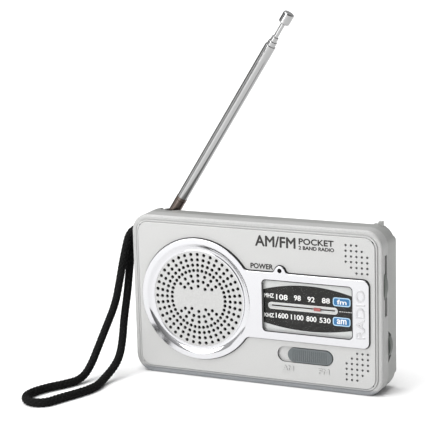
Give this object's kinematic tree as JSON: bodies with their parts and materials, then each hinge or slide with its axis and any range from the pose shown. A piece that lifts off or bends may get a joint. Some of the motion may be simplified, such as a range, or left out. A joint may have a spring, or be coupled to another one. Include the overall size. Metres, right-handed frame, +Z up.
{
  "type": "transistor pocket radio",
  "caption": "Pocket radio with a round perforated speaker, slide-rule dial, side wheels, band switch, battery door, telescopic antenna and wrist strap.",
  "frame": {"origin": "centre of the case's bottom face", "axes": "+X to the right seen from the front, +Y to the back, +Z up"},
  "size_m": [0.1448, 0.082, 0.1608],
  "materials": {
    "front_shell": "silver-grey paint, satin",
    "rear_shell": "moulded, fine texture",
    "trim": "vacuum-metallised plastic",
    "window": "clear polished",
    "scale": "printed",
    "pointer": "moulded red",
    "steel": "plated",
    "cloth": "woven",
    "paper": "pressed paper",
    "magnet": "ferrite",
    "board": "phenolic laminate",
    "capacitor": "moulded",
    "cans": "plated",
    "sleeve": "shrink sleeve",
    "ferrite": "ferrite",
    "coil": "enamelled wire",
    "lamp": "clear red",
    "black_plastic": "moulded",
    "wheel": "moulded dark",
    "brass": "turned",
    "cord": "braided nylon",
    "knob": "moulded dark",
    "cell": "printed sleeve",
    "leads": "insulated wire",
    "collar": "dark plated",
    "chrome": "polished plating",
    "strap": "braided nylon"
  },
  "bodies": {
    "case": {"front_shell": "front_shell", "rear_shell": "rear_shell", "speaker_grille": "front_shell", "chrome_trim": "trim", "dial_window": "window", "dial_scale": "scale", "case_screws": "steel", "speaker_cloth": "cloth", "speaker_frame": "steel", "speaker_cone": "paper", "speaker_magnet": "magnet", "circuit_board": "board", "board_screws": "steel", "tuning_capacitor": "capacitor", "if_transformers": "cans", "electrolytics": "sleeve", "ferrite_rod": "ferrite", "ferrite_coil": "coil", "power_led": "lamp", "earphone_jack": "black_plastic", "dial_cord": "cord", "dial_pulleys": "black_plastic", "volume_control": "cans", "slide_switch": "cans", "battery_1": "cell", "battery_2": "cell", "battery_contacts": "steel", "lead_wires": "leads", "strap_knot": "strap", "wrist_strap": "strap"},
    "tuning": {"tuning_wheel": "wheel", "tuning_shaft": "brass", "tuning_screw": "steel"},
    "pointer": {"dial_pointer": "pointer"},
    "volume": {"volume_wheel": "wheel", "volume_shaft": "brass"},
    "band": {"band_knob": "knob", "band_slider": "black_plastic", "switch_lever": "black_plastic"},
    "door": {"battery_door": "rear_shell"},
    "antenna_swivel_base": {"antenna_base": "collar"},
    "antenna_arm": {"antenna_pin": "steel", "antenna_knuckle": "collar", "antenna_tube_1": "chrome"},
    "antenna_2": {"antenna_tube_2": "chrome"},
    "antenna_3": {"antenna_tube_3": "chrome"},
    "antenna_tip": {"antenna_rod": "chrome", "antenna_cap": "chrome"}
  },
  "joints": [
    {"name": "tuning_turn", "type": "hinge", "parent": "case", "child": "tuning", "pos_m": [0.0464, -0.0055, 0.0478], "axis": [0, 1, 0], "range_deg": [-41.9, 123.5]},
    {"name": "pointer_travel", "type": "slide", "parent": "case", "child": "pointer", "axis": [1, 0, 0], "range_m": [-0.0202, 0.0069]},
    {"name": "volume_turn", "type": "hinge", "parent": "case", "child": "volume", "pos_m": [0.0505, 0, 0.0207], "axis": [0, 1, 0], "range_deg": [-150, 150]},
    {"name": "band_slide", "type": "slide", "parent": "case", "child": "band", "axis": [-1, 0, 0], "range_m": [0, 0.0044]},
    {"name": "battery_door_hinge", "type": "hinge", "parent": "case", "child": "door", "pos_m": [0.0153, 0.0087, 0.0034], "axis": [-1, 0, 0], "range_deg": [0, 85]},
    {"name": "antenna_swivel", "type": "hinge", "parent": "case", "child": "antenna_swivel_base", "pos_m": [-0.04596, 0.007, 0.066], "axis": [0, 0, 1], "continuous": true},
    {"name": "antenna_tilt", "type": "hinge", "parent": "antenna_swivel_base", "child": "antenna_arm", "pos_m": [-0.04596, 0.007, 0.0693], "axis": [0, -1, 0], "range_deg": [-54.85, 32.75]},
    {"name": "antenna_slide_2", "type": "slide", "parent": "antenna_arm", "child": "antenna_2", "axis": [0.541, 0, 0.841], "range_m": [0, 0.071]},
    {"name": "antenna_slide_3", "type": "slide", "parent": "antenna_2", "child": "antenna_3", "axis": [0.541, 0, 0.841], "range_m": [0, 0.07]},
    {"name": "antenna_slide_tip", "type": "slide", "parent": "antenna_3", "child": "antenna_tip", "axis": [0.541, 0, 0.841], "range_m": [0, 0.068]}
  ],
  "couplings": [
    {"joint": "pointer_travel", "follows": "tuning_turn", "m_per_rad": -0.00935}
  ]
}
